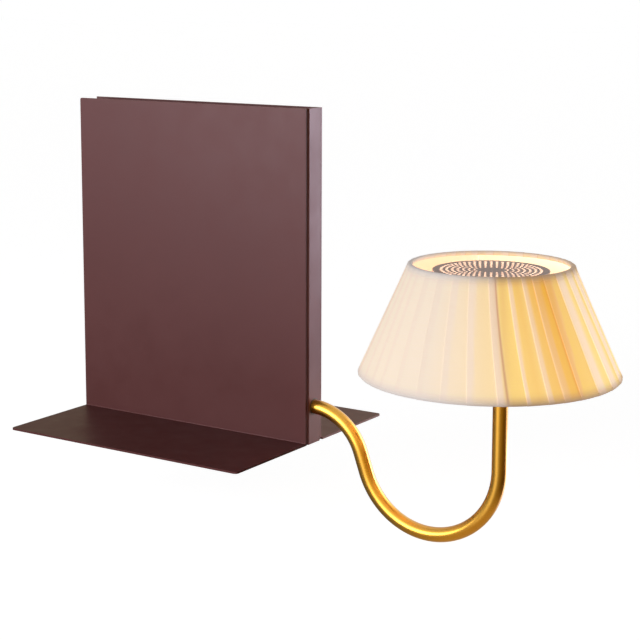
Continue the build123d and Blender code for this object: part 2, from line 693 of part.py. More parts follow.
with BuildPart() as terminal_screws:
    for pole_x in POLE_XS:
        for pole_y in POLE_YS:
            well = Plane(origin=(pole_x, pole_y, TERMINAL_TOP - POLE_WELL))
            ring(well, POLE_SCREW_D, 0, POLE_SCREW_H)
            slot_low = TERMINAL_TOP - POLE_WELL + 0.8 * POLE_SCREW_H
            block(pole_x - POLE_SCREW_D, pole_x + POLE_SCREW_D, pole_y - 0.3, pole_y + 0.3,
                  slot_low, TERMINAL_TOP, mode=Mode.SUBTRACT)
save(terminal_screws, "terminal_screws")

with BuildPart() as cable_inlet:
    ring(facing_rear(0, INLET_FRONT, SUPPLY_Z), INLET_BARREL, INLET_BORE, STRIP_REAR - INLET_FRONT)
    ring(facing_rear(0, STRIP_REAR, SUPPLY_Z), INLET_FLANGE, INLET_BORE, INLET_LIP)
    fillet(cable_inlet.edges().group_by(Axis.Y)[-1].sort_by(SortBy.RADIUS)[-1], 1)
save(cable_inlet, "cable_inlet")

with BuildPart() as inlet_nut:
    hexagon(facing_rear(0, STRIP_REAR - STRIP - INLET_NUT_T, SUPPLY_Z), INLET_NUT_AF,
            INLET_BARREL + 2 * SEAT_FIT, INLET_NUT_T)
save(inlet_nut, "inlet_nut")

# Head

with BuildPart() as head_cup:
    cup_r = CUP_D / 2
    turned([
        (0, CUP_FLOOR), (cup_r - CUP_CHAMFER, CUP_FLOOR), (cup_r, CUP_FLOOR + CUP_CHAMFER),
        (cup_r, SHOULDER),
        (SPIGOT_D / 2, SHOULDER), (SPIGOT_D / 2, SPIGOT_TOP), (SEAT_D / 2, SPIGOT_TOP),
        (SEAT_D / 2, SPREADER_LOW), (CAVITY_D / 2, SPREADER_LOW),
        (CAVITY_D / 2, CUP_FLOOR + FLOOR_T), (0, CUP_FLOOR + FLOOR_T),
    ])
    for fin_z in FIN_ZS:
        ring(level(fin_z), CUP_D + 2, CUP_D - 2 * FIN_DEEP, FIN_GAP, mode=Mode.SUBTRACT)
    ring(level(CUP_FLOOR - 1, y=LEG_OFF), TUBE_D + 2 * SEAT_FIT, 0, FLOOR_T + 2,
         mode=Mode.SUBTRACT)
    ring(level(CUP_FLOOR - 1, y=BUTTON_OFFSET), BUTTON_D + 2 * BUTTON_GAP, 0, FLOOR_T + 2,
         mode=Mode.SUBTRACT)
save(head_cup, "head_cup")

with BuildPart() as stem_collar:
    ring(level(CUP_FLOOR - STEM_H, y=LEG_OFF), STEM_D, TUBE_D + 2 * SEAT_FIT, STEM_H)
    chamfer(stem_collar.edges().group_by(Axis.Z)[0].sort_by(SortBy.RADIUS)[-1], CUP_CHAMFER)
save(stem_collar, "stem_collar")

with BuildPart() as tube_nut:
    hexagon(level(CUP_FLOOR + FLOOR_T, y=LEG_OFF), TUBE_NUT_AF, TUBE_D + 2 * SEAT_FIT, TUBE_NUT_H)
save(tube_nut, "tube_nut")

with BuildPart() as heat_spreader:
    ring(level(SPREADER_LOW), SEAT_D - 0.2, 0, SPREADER_T)
    ring(level(SPREADER_LOW, y=LEG_OFF), WIRE_D + 0.4, 0, SPREADER_T, mode=Mode.SUBTRACT)
save(heat_spreader, "heat_spreader")

with BuildPart() as led_board:
    ring(level(BOARD_LOW), BOARD_D, 0, BOARD_T)
    with BuildSketch(level(BOARD_LOW)):
        with PolarLocations(BOARD_SCREW_X, 2):
            Circle(BOARD_SCREW_D / 2 + SEAT_FIT)
    extrude(amount=BOARD_T, mode=Mode.SUBTRACT)
save(led_board, "led_board")

with BuildPart() as led_chips:
    with BuildSketch(level(BOARD_LOW + BOARD_T)):
        for chip_radius, chip_count, chip_start in CHIP_RINGS:
            with PolarLocations(chip_radius, chip_count, start_angle=chip_start):
                Rectangle(CHIP, CHIP)
    extrude(amount=CHIP_H)
save(led_chips, "led_chips")

with BuildPart() as board_screws:
    for screw_x in (-BOARD_SCREW_X, BOARD_SCREW_X):
        screw(level(BOARD_LOW + BOARD_T, x=screw_x), BOARD_SCREW_HEAD, BOARD_SCREW_D / 2,
              BOARD_SCREW_D, BOARD_T)
save(board_screws, "board_screws")

with BuildPart() as opal_dome:
    dome_plane = Plane(origin=(ARM_X, AXIS_Y, 0), x_dir=(1, 0, 0), z_dir=(0, -1, 0))
    with BuildSketch(dome_plane) as dome_outer:
        with BuildLine():
            FilletPolyline((DOME_D / 2, BOARD_LOW), (DOME_D / 2, DOME_TOP), (0, DOME_TOP),
                           radius=DOME_ROUND)
            Polyline((0, DOME_TOP), (0, BOARD_LOW), (DOME_D / 2, BOARD_LOW))
        make_face()
        with BuildLine():
            FilletPolyline((DOME_D / 2 - DOME_WALL, BOARD_LOW),
                           (DOME_D / 2 - DOME_WALL, DOME_TOP - DOME_WALL),
                           (0, DOME_TOP - DOME_WALL), radius=DOME_ROUND - DOME_WALL)
            Polyline((0, DOME_TOP - DOME_WALL), (0, BOARD_LOW),
                     (DOME_D / 2 - DOME_WALL, BOARD_LOW))
        make_face(mode=Mode.SUBTRACT)
    revolve(axis=Axis((ARM_X, AXIS_Y, 0), (0, 0, 1)))
save(opal_dome, "opal_dome")

with BuildPart() as dimmer_board:
    ring(level(DIMMER_LOW), CAVITY_D - 2, 0, BOARD_T)
    ring(level(DIMMER_LOW, y=LEG_OFF), WIRE_D + 2, 0, BOARD_T, mode=Mode.SUBTRACT)
save(dimmer_board, "dimmer_board")

with BuildPart() as board_spacers:
    with BuildSketch(level(DIMMER_LOW + BOARD_T)):
        with PolarLocations(SPACER_RADIUS, 2):
            Circle(SPACER_D / 2)
    extrude(amount=SPREADER_LOW - DIMMER_LOW - BOARD_T)
save(board_spacers, "board_spacers")

BUTTON_SEAT = CUP_FLOOR + FLOOR_T + LAYER_GAP
BUTTON_TOP = BUTTON_SEAT + BUTTON_FLANGE_T

with BuildPart() as dimmer_switch:
    with BuildSketch(level(DIMMER_LOW, y=BUTTON_OFFSET)):
        Rectangle(SWITCH_BODY, SWITCH_BODY)
    extrude(amount=-SWITCH_H)
    ring(level(DIMMER_LOW - SWITCH_H, y=BUTTON_OFFSET), PLUNGER_D, 0,
         BUTTON_TOP + BUTTON_TRAVEL + LAYER_GAP - DIMMER_LOW + SWITCH_H)
save(dimmer_switch, "dimmer_switch")

with BuildPart() as button_cap:
    ring(level(CUP_FLOOR - BUTTON_PROUD, y=BUTTON_OFFSET), BUTTON_D, 0,
         BUTTON_SEAT - CUP_FLOOR + BUTTON_PROUD)
    fillet(button_cap.edges().group_by(Axis.Z)[0], BUTTON_ROUND)
    ring(level(BUTTON_SEAT, y=BUTTON_OFFSET), BUTTON_FLANGE_D, 0, BUTTON_TOP - BUTTON_SEAT)
save(button_cap, "button_cap")

# Shade

with BuildPart() as shade_spider:
    ring(level(SHOULDER), HUB_D, SPIGOT_D + 2 * LIFT_GAP, HUB_T)
    spoke_end = cone_radius(HUB_TOP, LINING_IN + LAYER_GAP + RIB_T + SPOKE_GAP)
    with BuildSketch(level(SHOULDER)):
        with PolarLocations(0, SPOKES, start_angle=SPOKE_START):
            with Locations(((HUB_D / 2 - SPOKE_ROOT + spoke_end) / 2, 0)):
                Rectangle(spoke_end - HUB_D / 2 + SPOKE_ROOT, SPOKE_W)
    extrude(amount=HUB_T)
save(shade_spider, "shade_spider")

with BuildPart() as disc_posts:
    with BuildSketch(level(HUB_TOP)):
        with PolarLocations(POST_RADIUS, SPOKES, start_angle=SPOKE_START):
            Circle(POST_D / 2)
    extrude(amount=DISC_LOW - HUB_TOP)
save(disc_posts, "disc_posts")

with BuildPart() as grille_disc:
    with BuildSketch(level(DISC_LOW)):
        Circle(DISC_D / 2)
        for hole_ring in HOLE_RINGS:
            hole_d = HOLE_D - HOLE_SHRINK * (HOLE_RINGS[-1] - hole_ring)
            with PolarLocations(RING_PITCH * hole_ring, RING_HOLES * hole_ring, start_angle=HOLE_START):
                Circle(hole_d / 2, mode=Mode.SUBTRACT)
    extrude(amount=DISC_T)
save(grille_disc, "grille_disc")

for ring_name, rim, inward in (("top_ring", RIM_TOP, -1), ("bottom_ring", RIM_BOTTOM, 1)):
    with BuildPart() as wire_ring:
        ring_z = rim + inward * (TRIM + LAYER_GAP + RING_WIRE / 2)
        ring_r = cone_radius(rim + inward * TRIM_ROLL, ROLL_INSET)
        with BuildSketch(SHADE_SECTION):
            with Locations((ring_r, ring_z)):
                Circle(RING_WIRE / 2)
        revolve(axis=SHADE_AXIS)
    save(wire_ring, ring_name)

with BuildPart() as shade_ribs:
    rib_low = RIM_BOTTOM + TRIM_H + LAYER_GAP
    rib_high = RIM_TOP - TRIM_H - LAYER_GAP
    rib_out = LINING_IN + LAYER_GAP
    for rib in range(SPOKES):
        turn = radians(SPOKE_START + 360 * rib / SPOKES)
        rib_plane = Plane(origin=(ARM_X, AXIS_Y, 0), x_dir=(cos(turn), sin(turn), 0),
                          z_dir=(sin(turn), -cos(turn), 0))
        with BuildSketch(rib_plane):
            with BuildLine():
                Polyline(
                    (cone_radius(rib_low, rib_out + RIB_SAG), rib_low),
                    (cone_radius(rib_high, rib_out + RIB_SAG), rib_high),
                    (cone_radius(rib_high, rib_out + RIB_T), rib_high),
                    (cone_radius(rib_low, rib_out + RIB_T), rib_low), close=True,
                )
            make_face()
        extrude(amount=RIB_W / 2, both=True)
save(shade_ribs, "shade_ribs")

with BuildPart() as shade_lining:
    turned([
        (cone_radius(PLEAT_LOW, LINING_OUT), PLEAT_LOW),
        (cone_radius(PLEAT_HIGH, LINING_OUT), PLEAT_HIGH),
        (cone_radius(PLEAT_HIGH, LINING_IN), PLEAT_HIGH),
        (cone_radius(PLEAT_LOW, LINING_IN), PLEAT_LOW),
    ])
save(shade_lining, "shade_lining")

with BuildPart() as shade_fabric:
    for fold_z in (PLEAT_LOW, PLEAT_HIGH):
        with BuildSketch(level(fold_z)):
            with BuildLine():
                Polyline(*pleat_outline(fold_z), close=True)
            make_face()
    loft(ruled=True)
    for face_z in (PLEAT_LOW, PLEAT_HIGH):
        with BuildSketch(level(face_z)):
            Circle(cone_radius(face_z, FABRIC_IN))
    loft(ruled=True, mode=Mode.SUBTRACT)
save(shade_fabric, "shade_fabric")


def rolled_trim(rim, inward):
    """Tape folded round a rim and its ring; inward is -1 at the top rim and +1 at the bottom."""
    edge = rim + inward * TRIM_H
    cap = rim + inward * TRIM
    outer = (cone_radius(rim), rim)
    inner = (cone_radius(cap, TRIM), cap)
    turned([
        outer, (cone_radius(edge), edge), (cone_radius(edge, TRIM), edge), inner,
        (cone_radius(cap, TRIM_IN), cap), (cone_radius(edge, TRIM_IN), edge),
        (cone_radius(edge, TRIM_IN + TRIM), edge), (cone_radius(rim, TRIM_IN + TRIM), rim),
    ], rounds=((outer, TRIM_ROLL), (inner, ROLL_IN)))


with BuildPart() as top_trim:
    rolled_trim(RIM_TOP, -1)
save(top_trim, "top_trim")

with BuildPart() as bottom_trim:
    rolled_trim(RIM_BOTTOM, 1)
save(bottom_trim, "bottom_trim")
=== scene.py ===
"""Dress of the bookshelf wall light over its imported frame. Metres, +Z up, -Y towards the room."""

import json
import math

import bpy
import numpy as np
from mathutils import Matrix, Vector


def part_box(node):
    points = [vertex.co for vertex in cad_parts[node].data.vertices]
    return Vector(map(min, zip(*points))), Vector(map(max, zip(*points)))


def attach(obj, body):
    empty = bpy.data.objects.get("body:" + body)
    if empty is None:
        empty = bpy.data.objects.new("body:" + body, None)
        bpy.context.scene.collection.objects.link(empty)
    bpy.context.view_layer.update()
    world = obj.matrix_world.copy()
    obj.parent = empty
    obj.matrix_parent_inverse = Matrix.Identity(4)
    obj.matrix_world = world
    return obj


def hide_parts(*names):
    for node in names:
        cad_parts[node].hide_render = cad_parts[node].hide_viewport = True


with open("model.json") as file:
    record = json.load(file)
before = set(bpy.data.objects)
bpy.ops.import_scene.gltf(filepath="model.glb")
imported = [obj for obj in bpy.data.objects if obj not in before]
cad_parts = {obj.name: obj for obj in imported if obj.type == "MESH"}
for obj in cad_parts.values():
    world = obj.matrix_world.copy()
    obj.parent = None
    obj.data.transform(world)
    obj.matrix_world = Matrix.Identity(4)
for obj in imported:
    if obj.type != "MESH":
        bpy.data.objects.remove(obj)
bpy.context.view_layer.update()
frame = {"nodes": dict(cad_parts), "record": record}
nodes = frame["nodes"]
MM = 0.001

# Shade, in millimetres and degrees as in the part
ARM_X = 1.5
AXIS_Y = -252.0
RIM_TOP = 150.8
RIM_BOTTOM = 71.7
R_TOP = 57.6
R_BOTTOM = 92.7
PLEATS = 34
PLEAT_START = 154.3
PLEAT_SWELLS = ((0.185, 0.752, -0.789), (0.119, 1.451, 0.791))
PLEAT_LEAN = 5.5
SEAM = 215.3            # where the cloth's ends meet, at the foot
RIB_ANGLES = (34.5, 124.5, 214.5, 304.5)
TRIM_H = 3.6
TRIM = 0.5
TRIM_ROLL = 2.3
TRIM_IN = 3.9           # of the tape's inner leg under the outer cone
PIERCED_R = 37.4        # radius inside which the disc has its holes

# Body
COVER_IN = -9.0         # the cover sheet lies left of this
COVER_OUT = -11.0       # and the left wing left of this
TURNED = 0.9            # a face's normal along an axis, when it faces that way


# Material tools

RUBBED_RADIUS = 0.6 * MM
RUBBED_FROM = (0.995, 0.86)     # of the rounded and the true normal's product: none, and all


def srgb(red, green, blue):
    """Linear colour of what a picture shows as red, green and blue from 0 to 255."""
    return tuple(
        level / 255 / 12.92 if level < 11 else ((level / 255 + 0.055) / 1.055) ** 2.4
        for level in (red, green, blue)
    )


def start(name, **sockets):
    """A new material, its tree, its shader and the object's own coordinates."""
    made = bpy.data.materials.new(name)
    made.use_nodes = True
    tree = made.node_tree
    surface = tree.nodes["Principled BSDF"]
    for socket, value in sockets.items():
        surface.inputs[socket.replace("_", " ")].default_value = value
    place = tree.nodes.new("ShaderNodeTexCoord").outputs["Object"]
    return made, tree, surface, place


def put(tree, kind, inputs, **settings):
    """Adds a node, sets it up, and links or fills its inputs."""
    node = tree.nodes.new("ShaderNode" + kind)
    for name, value in settings.items():
        setattr(node, name, value)
    for name, value in inputs.items():
        if isinstance(value, bpy.types.NodeSocket):
            tree.links.new(value, node.inputs[name])
        else:
            node.inputs[name].default_value = value
    return node


def noise(tree, place, scale, detail=2.0, rough=0.5):
    fields = {"Vector": place, "Scale": scale, "Detail": detail, "Roughness": rough}
    return put(tree, "TexNoise", fields).outputs["Fac"]


def stretched(tree, place, scale):
    return put(tree, "Mapping", {"Vector": place, "Scale": scale}).outputs["Vector"]


def span(tree, value, low, high, to_low=0.0, to_high=1.0):
    fields = {"Value": value, "From Min": low, "From Max": high}
    fields.update({"To Min": to_low, "To Max": to_high})
    return put(tree, "MapRange", fields).outputs["Result"]


def mixed(tree, share, first, second):
    """Colour between two colours."""
    pair = [(*c, 1.0) if isinstance(c, tuple) else c for c in (first, second)]
    return put(tree, "Mix", {0: share, 6: pair[0], 7: pair[1]}, data_type="RGBA").outputs[2]


def math_of(tree, kind, first, second=0.0):
    return put(tree, "Math", {0: first, 1: second}, operation=kind).outputs[0]


def scaled(tree, colour, factor):
    return put(tree, "VectorMath", {0: colour, "Scale": factor}, operation="SCALE").outputs["Vector"]


def bump(tree, height, strength, depth, under=None):
    fields = {"Height": height, "Strength": strength, "Distance": depth}
    if under is not None:
        fields["Normal"] = under
    return put(tree, "Bump", fields).outputs["Normal"]


def rubbed(tree):
    """1 on a cut or folded edge, 0 away from it."""
    rounded = put(tree, "Bevel", {"Radius": RUBBED_RADIUS}, samples=4).outputs["Normal"]
    sharp = put(tree, "NewGeometry", {}).outputs["Normal"]
    dot = put(tree, "VectorMath", {0: rounded, 1: sharp}, operation="DOT_PRODUCT")
    return span(tree, dot.outputs["Value"], *RUBBED_FROM)


def link(tree, surface, **sockets):
    for socket, value in sockets.items():
        tree.links.new(value, surface.inputs[socket.replace("_", " ")])


def about_axis(tree, place):
    """Radius from the shade's axis, and the X and Y parts, of the object's own coordinates."""
    from_axis = put(tree, "VectorMath", {0: place, 1: (ARM_X * MM, AXIS_Y * MM, 0)},
                    operation="SUBTRACT").outputs["Vector"]
    parts = put(tree, "SeparateXYZ", {0: from_axis}).outputs
    across = math_of(tree, "MULTIPLY", parts["X"], parts["X"])
    along = math_of(tree, "MULTIPLY", parts["Y"], parts["Y"])
    radius = math_of(tree, "SQRT", math_of(tree, "ADD", across, along))
    return radius, parts["X"], parts["Y"]


# Materials


def paint(name, tint, pale, rough):
    """Satin powder coat: orange peel, faint clouds in colour and gloss, rubbed edges."""
    made, tree, surface, place = start(name, Specular_Tint=(1.0, 0.84, 0.9, 1.0))
    clouds = noise(tree, place, 9.0, 4.0)
    specks = noise(tree, place, 2600.0, 1.0)
    body = mixed(tree, span(tree, clouds, 0.3, 0.7, 0.0, 0.14), tint, pale)
    body = mixed(tree, span(tree, specks, 0.35, 0.75, 0.0, 0.07), body, pale)
    worn = math_of(tree, "MULTIPLY", rubbed(tree), span(tree, clouds, 0.3, 0.7, 0.2, 0.5))
    body = mixed(tree, worn, body, pale)
    gloss = span(tree, noise(tree, place, 60.0, 3.0), 0.3, 0.7, rough - 0.03, rough + 0.04)
    peel = bump(tree, noise(tree, place, 750.0, 2.0), 0.12, 0.00006)
    grain = bump(tree, specks, 0.1, 0.00002, peel)
    link(tree, surface, Base_Color=body, Roughness=gloss, Normal=grain)
    return made, tree, surface, place


GAP_SHADE_SHARE = 0.7          # share of the dark colour painted as shade on the cover's front edge, in the gap by the spine
WING_SHADE_SHARE = 0.6         # and painted as shade on the top of the left wing
PAINT_GLOSS = 0.5
GAP_SHADE_GLOSS = 0.05
WING_SHADE_GLOSS_LOSS = 0.25


def body_paint():
    """The sheets' paint, with painted shade: darker and less glossy on the cover's front edge in the gap
    by the spine, and on the top of the left wing.
    """
    made, tree, surface, place = paint("body_paint", srgb(86, 35, 31), srgb(110, 60, 58), 0.42)
    facing = put(tree, "SeparateXYZ", {0: put(tree, "TexCoord", {}).outputs["Normal"]}).outputs
    where = put(tree, "SeparateXYZ", {0: place}).outputs["X"]
    # Painted shade on the cover's front edge, in the gap by the spine
    gap_shade_mask = math_of(tree, "MULTIPLY", math_of(tree, "LESS_THAN", facing["Y"], -TURNED),
                  math_of(tree, "LESS_THAN", where, COVER_IN * MM))
    # Painted shade on the top of the left wing, beside the cover
    wing_shade_mask = math_of(tree, "MULTIPLY", math_of(tree, "GREATER_THAN", facing["Z"], TURNED),
                   math_of(tree, "LESS_THAN", where, COVER_OUT * MM))
    painted = surface.inputs["Base Color"].links[0].from_socket
    # Painted shade: a dark colour on the cover's front edge, and on the left wing
    painted = mixed(tree, math_of(tree, "MULTIPLY", gap_shade_mask, GAP_SHADE_SHARE), painted, srgb(52, 24, 18))
    painted = mixed(tree, math_of(tree, "MULTIPLY", wing_shade_mask, WING_SHADE_SHARE), painted, srgb(56, 16, 8))
    gloss = math_of(tree, "SUBTRACT", span(tree, gap_shade_mask, 0.0, 1.0, PAINT_GLOSS, GAP_SHADE_GLOSS),
                    math_of(tree, "MULTIPLY", wing_shade_mask, WING_SHADE_GLOSS_LOSS))
    link(tree, surface, Base_Color=painted, Specular_IOR_Level=gloss)
    return made


def metal(name, tint, dull, rough, brush, strength=0.15, **sockets):
    """Metal with fine tool marks, stretched as brush says, and slight tarnish."""
    made, tree, surface, place = start(name, Metallic=1.0, **sockets)
    marks = noise(tree, stretched(tree, place, brush), 1.0, 3.0, 0.6)
    stain = noise(tree, place, 38.0, 4.0)
    body = mixed(tree, span(tree, stain, 0.4, 0.75, 0.0, 0.55), tint, dull)
    body = mixed(tree, span(tree, marks, 0.3, 0.7, 0.0, 0.25), body, dull)
    gloss = span(tree, marks, 0.3, 0.7, rough - 0.05, rough + 0.08)
    relief = bump(tree, marks, strength, 0.00003)
    link(tree, surface, Base_Color=body, Roughness=gloss, Normal=relief)
    return made


def plastic(name, tint, rough, grain=1800.0, strength=0.2, **sockets):
    """Moulded plastic or rubber: a fine eroded grain and faint unevenness of colour."""
    made, tree, surface, place = start(name, **sockets)
    cells = noise(tree, place, grain, 3.0, 0.6)
    cloud = noise(tree, place, 55.0, 3.0)
    darker = tuple(level * 0.72 for level in tint)
    body = mixed(tree, span(tree, cloud, 0.3, 0.7), tint, darker)
    gloss = span(tree, cells, 0.3, 0.7, rough - 0.05, rough + 0.06)
    relief = bump(tree, cells, strength, 0.00004)
    link(tree, surface, Base_Color=body, Roughness=gloss, Normal=relief)
    return made


def circuit(name, tint, trace, ink):
    """Solder mask over copper: square tracks, pads and a fine weave of the glass under it."""
    made, tree, surface, place = start(name, Coat_Weight=0.4, Coat_Roughness=0.15)
    cells = put(tree, "TexBrick", {
        "Vector": place, "Scale": 260.0, "Color1": (*tint, 1), "Color2": (*trace, 1),
        "Mortar": (*trace, 1), "Mortar Size": 0.06, "Bias": -0.4,
    })
    pads = put(tree, "TexVoronoi", {"Vector": place, "Scale": 330.0}).outputs["Distance"]
    body = mixed(tree, span(tree, pads, 0.22, 0.16), cells.outputs["Color"], ink)
    weave = noise(tree, place, 2200.0, 1.0)
    gloss = span(tree, pads, 0.16, 0.22, 0.3, 0.45)
    relief = bump(tree, weave, 0.15, 0.00002, bump(tree, cells.outputs["Fac"], 0.3, 0.00004))
    link(tree, surface, Base_Color=body, Roughness=gloss, Normal=relief)
    return made


def lit(name, tint, glow_tint, strength, rough=0.35):
    """Something that gives light, or has painted glow for the light that falls on it, a little unevenly.
    """
    made, tree, surface, place = start(name, Emission_Strength=strength)
    cloud = noise(tree, place, 60.0, 2.0)
    dimmer = tuple(level * 0.86 for level in glow_tint)
    shine = mixed(tree, span(tree, cloud, 0.3, 0.7), glow_tint, dimmer)
    body = mixed(tree, cloud, tint, tuple(level * 0.93 for level in tint))
    gloss = span(tree, cloud, 0.3, 0.7, rough, rough + 0.12)
    relief = bump(tree, noise(tree, place, 1400.0, 2.0), 0.15, 0.00003)
    link(tree, surface, Base_Color=body, Emission_Color=shine, Roughness=gloss, Normal=relief)
    return made


WALL_TURN = 0.5         # upward part of the normal, under which a face is a hole's wall


def disc_paint():
    """The head's brown paint drawn pale as painted light, with painted glow on the walls of the holes
    for the light from below.
    """
    # Painted light: the brown paint drawn pale, as washed by the light round and under the disc
    made, tree, surface, place = paint("disc_paint", srgb(246, 222, 216), srgb(250, 230, 224), 0.5)
    surface.inputs["Emission Strength"].default_value = 1.0
    radius = about_axis(tree, place)[0]
    facing = put(tree, "TexCoord", {}).outputs["Normal"]
    upright = math_of(tree, "ABSOLUTE", put(tree, "SeparateXYZ", {0: facing}).outputs["Z"])
    # Painted glow on the walls of the holes, for the light from below
    wall = math_of(tree, "MULTIPLY", math_of(tree, "LESS_THAN", upright, WALL_TURN),
                   math_of(tree, "LESS_THAN", radius, PIERCED_R * MM))
    height = put(tree, "SeparateXYZ", {0: place}).outputs["Z"]
    low, high = (corner.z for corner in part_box("grille_disc"))
    shine = mixed(tree, span(tree, height, low, high), srgb(255, 236, 200), srgb(255, 214, 180))
    link(tree, surface, Emission_Color=mixed(tree, wall, (0, 0, 0), shine))
    return made


PALE_SIDE = (0.55, -0.84)       # X and Y of the way in which the lining's painted shade gives way to paler
PALE_WAY = 50 * MM              # on each side of the axis, from its deepest to its palest
# Strength of the film's painted glow
FILM_GLOW = 0.58


def lining_film():
    """Smooth film with painted glow for the light inside, and painted shade that deepens its colour on
    one side.
    """
    made, tree, surface, place = start("lining_film", Emission_Strength=FILM_GLOW,
                                       Specular_IOR_Level=0.2)
    across, along = about_axis(tree, place)[1:]
    side = math_of(tree, "ADD", math_of(tree, "MULTIPLY", across, PALE_SIDE[0]),
                   math_of(tree, "MULTIPLY", along, PALE_SIDE[1]))
    cloud = noise(tree, place, 30.0, 3.0)
    # Painted shade: deeper colour towards one side of the axis
    share = math_of(tree, "ADD", span(tree, side, -PALE_WAY, PALE_WAY, 0.0, 0.85),
                    span(tree, cloud, 0.3, 0.7, -0.1, 0.15))
    film = mixed(tree, share, srgb(254, 217, 186), srgb(255, 243, 220))
    relief = bump(tree, noise(tree, place, 900.0, 2.0), 0.1, 0.00003)
    link(tree, surface, Base_Color=film, Emission_Color=film, Normal=relief,
         Roughness=span(tree, cloud, 0.3, 0.7, 0.4, 0.55))
    return made


def threads(tree, pitch, strength, depth):
    """Over and under of a plain weave that follows the cloth's own threads attribute."""
    way = put(tree, "Attribute", {}, attribute_name="threads").outputs["Vector"]
    parts = put(tree, "SeparateXYZ", {0: way}).outputs
    turns = 2 * math.pi / pitch
    weft = math_of(tree, "SINE", math_of(tree, "MULTIPLY", parts["X"], turns))
    warp = math_of(tree, "SINE", math_of(tree, "MULTIPLY", parts["Y"], turns))
    slub = noise(tree, stretched(tree, way, (60.0, 900.0, 1.0)), 1.0, 3.0)
    cross = math_of(tree, "MULTIPLY", weft, warp)
    relief = math_of(tree, "ADD", cross, math_of(tree, "MULTIPLY", slub, 1.6))
    return slub, bump(tree, relief, strength, depth)


def value_of(tree, name):
    return put(tree, "Attribute", {}, attribute_name=name).outputs["Fac"]


SEAM_LINE = (0.2, 1.0)          # degrees off the seam, from its painted shade's darkest to clear
SEAM_SHADE = 0.75
CLOTH_LEVEL = 0.7               # of the cloth's own colour under the light in the room


def pleated_cotton(name, pitch, grain):
    """Cream cotton with painted lamp light from behind: painted glow, deeper where one layer lies before
    the lamp, painted highlights on folds, painted shadows under folds, at ribs, hem and seam, and
    painted shade at the rims.
    """
    made, tree, surface, _ = start(name, Emission_Strength=1.0, Specular_IOR_Level=0.1)
    warm, glow, deep = value_of(tree, "warm"), value_of(tree, "glow"), value_of(tree, "deep")
    slub, relief = threads(tree, pitch, grain, 0.00005)
    # Painted lamp light through one layer of cloth and through two
    single = mixed(tree, deep, srgb(255, 221, 138), srgb(243, 172, 14))
    double = mixed(tree, deep, srgb(253, 226, 196), srgb(240, 180, 92))
    warm_cloth = mixed(tree, glow, double, single)
    pale_cloth = mixed(tree, glow, srgb(248, 229, 210), srgb(252, 233, 212))
    cloth = mixed(tree, warm, pale_cloth, warm_cloth)
    cloth = mixed(tree, math_of(tree, "MULTIPLY", value_of(tree, "tone"), 0.07), cloth,
                  srgb(255, 242, 224))
    # Painted highlight along each fold edge
    cloth = mixed(tree, value_of(tree, "crease_highlight"), cloth, srgb(250, 216, 182))
    # Painted shadow under the next fold
    cloth = mixed(tree, value_of(tree, "step"), cloth, srgb(204, 146, 84))
    # Painted shade: a dark line at the seam, with the painted shadows of the ribs and hem
    off_seam = math_of(tree, "ABSOLUTE", math_of(tree, "SUBTRACT", value_of(tree, "foot"), SEAM))
    seam = span(tree, off_seam, *SEAM_LINE, SEAM_SHADE, 0.0)
    shadow = math_of(tree, "MAXIMUM", value_of(tree, "shadow"), seam)
    cloth = mixed(tree, shadow, cloth, srgb(196, 146, 116))
    # Painted shade next to the rims, grey on the pale side and brown on the warm side
    dull = mixed(tree, warm, srgb(214, 207, 206), srgb(150, 124, 106))
    cloth = mixed(tree, value_of(tree, "rim"), cloth, dull)
    cloth = mixed(tree, span(tree, slub, 0.35, 0.75, 0.0, 0.06), cloth, srgb(222, 190, 150))
    # Painted glow of the lamp through the cloth
    shine = mixed(tree, value_of(tree, "lamp"), (0, 0, 0), cloth)
    link(tree, surface, Base_Color=scaled(tree, cloth, CLOTH_LEVEL), Emission_Color=shine, Normal=relief,
         Roughness=span(tree, slub, 0.3, 0.7, 0.78, 0.92))
    return made


finish = {
    "body_paint": body_paint(),
    "gold_tube": metal("gold_tube", srgb(236, 172, 30), srgb(230, 162, 24), 0.28,
                       (3000.0, 3000.0, 3000.0), 0.01,
                       Coat_Weight=1.0, Coat_IOR=1.6, Coat_Roughness=0.28),
    "inner_steel": metal("inner_steel", srgb(196, 200, 204), srgb(150, 152, 150), 0.32,
                         (300.0, 300.0, 2600.0)),
    "bearing_metal": metal("bearing_metal", srgb(214, 216, 220), srgb(170, 172, 178), 0.25,
                           (260.0, 3200.0, 260.0)),
    "black_plastic": plastic("black_plastic", srgb(34, 32, 32), 0.5),
    "pad_rubber": plastic("pad_rubber", srgb(46, 42, 42), 0.85, 900.0, 0.5),
    "driver_shell": plastic("driver_shell", srgb(232, 232, 228), 0.55, 1200.0, 0.35),
    "circuit_board": circuit("circuit_board", srgb(22, 92, 52), srgb(40, 122, 70),
                             srgb(196, 172, 96)),
    "terminal_plastic": plastic("terminal_plastic", srgb(226, 220, 196), 0.3, 1500.0, 0.1),
    "lead_sheath": plastic("lead_sheath", srgb(214, 210, 204), 0.42, 2400.0, 0.12),
    "head_paint": paint("head_paint", srgb(96, 56, 54), srgb(126, 80, 78), 0.42)[0],
    "board_white": circuit("board_white", srgb(236, 236, 230), srgb(222, 222, 214),
                           srgb(206, 184, 120)),
    "led_phosphor": lit("led_phosphor", srgb(255, 222, 120), srgb(255, 224, 150), 6.0),
    "opal": lit("opal", srgb(250, 244, 230), srgb(255, 226, 172), 2.4, 0.5),
    # Painted glow: the shade's ring wires give no light of their own
    "ring_wire": lit("ring_wire", srgb(240, 232, 214), srgb(255, 240, 208), 0.6),
    "shade_backing": lining_film(),
}
disc_finish = disc_paint()
COTTON_PITCH = 0.42 * MM        # of two threads of the weave
TAPE_PITCH = 0.36 * MM
cotton = pleated_cotton("pleated_cotton", COTTON_PITCH, 0.2)
tape = pleated_cotton("woven_tape", TAPE_PITCH, 0.3)

